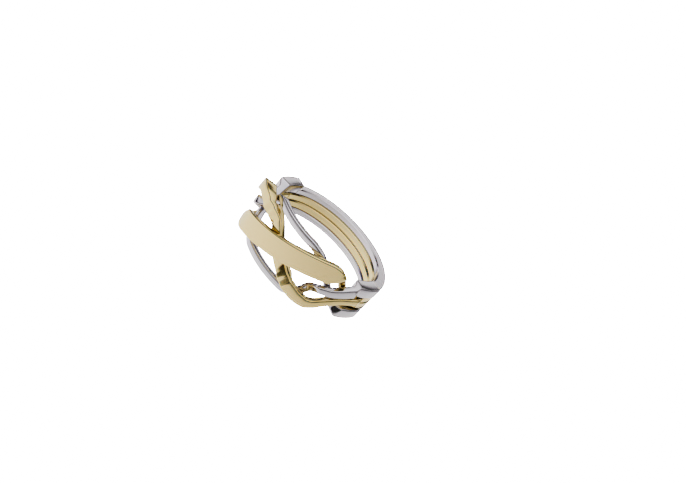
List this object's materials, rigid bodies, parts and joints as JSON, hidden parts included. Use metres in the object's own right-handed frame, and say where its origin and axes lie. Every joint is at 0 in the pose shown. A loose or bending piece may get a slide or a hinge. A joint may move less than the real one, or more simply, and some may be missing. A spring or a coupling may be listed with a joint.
{
  "type": "interlocking puzzle ring",
  "caption": "Woven puzzle ring of interlocked gold and silver coloured cast metal bands that fan apart at the back of the shank.",
  "frame": {"origin": "centre of the finger hole, halfway across the bands of the shank", "axes": "+Z along the finger hole's axis, towards the near silver band; the weave faces -Y and the plain shank +Y"},
  "size_m": [0.0393, 0.039, 0.0156],
  "materials": {
    "silver_metal": "polished",
    "gold_metal": "polished"
  },
  "bodies": {
    "far_silver": {"far_silver_band": "silver_metal"},
    "far_gold": {"far_gold_band": "gold_metal"},
    "near_gold": {"near_gold_band": "gold_metal"},
    "near_silver": {"near_silver_band": "silver_metal"}
  },
  "joints": [
    {"name": "far_gold_fan", "type": "hinge", "parent": "far_silver", "child": "far_gold", "pos_m": [0, -0.018, 0], "axis": [1, 0, 0], "range_deg": [0, 5]},
    {"name": "near_gold_fan", "type": "hinge", "parent": "far_gold", "child": "near_gold", "pos_m": [0, -0.018, 0], "axis": [1, 0, 0], "range_deg": [0, 5]},
    {"name": "near_silver_fan", "type": "hinge", "parent": "near_gold", "child": "near_silver", "pos_m": [0, -0.018, 0], "axis": [1, 0, 0], "range_deg": [0, 5]}
  ]
}
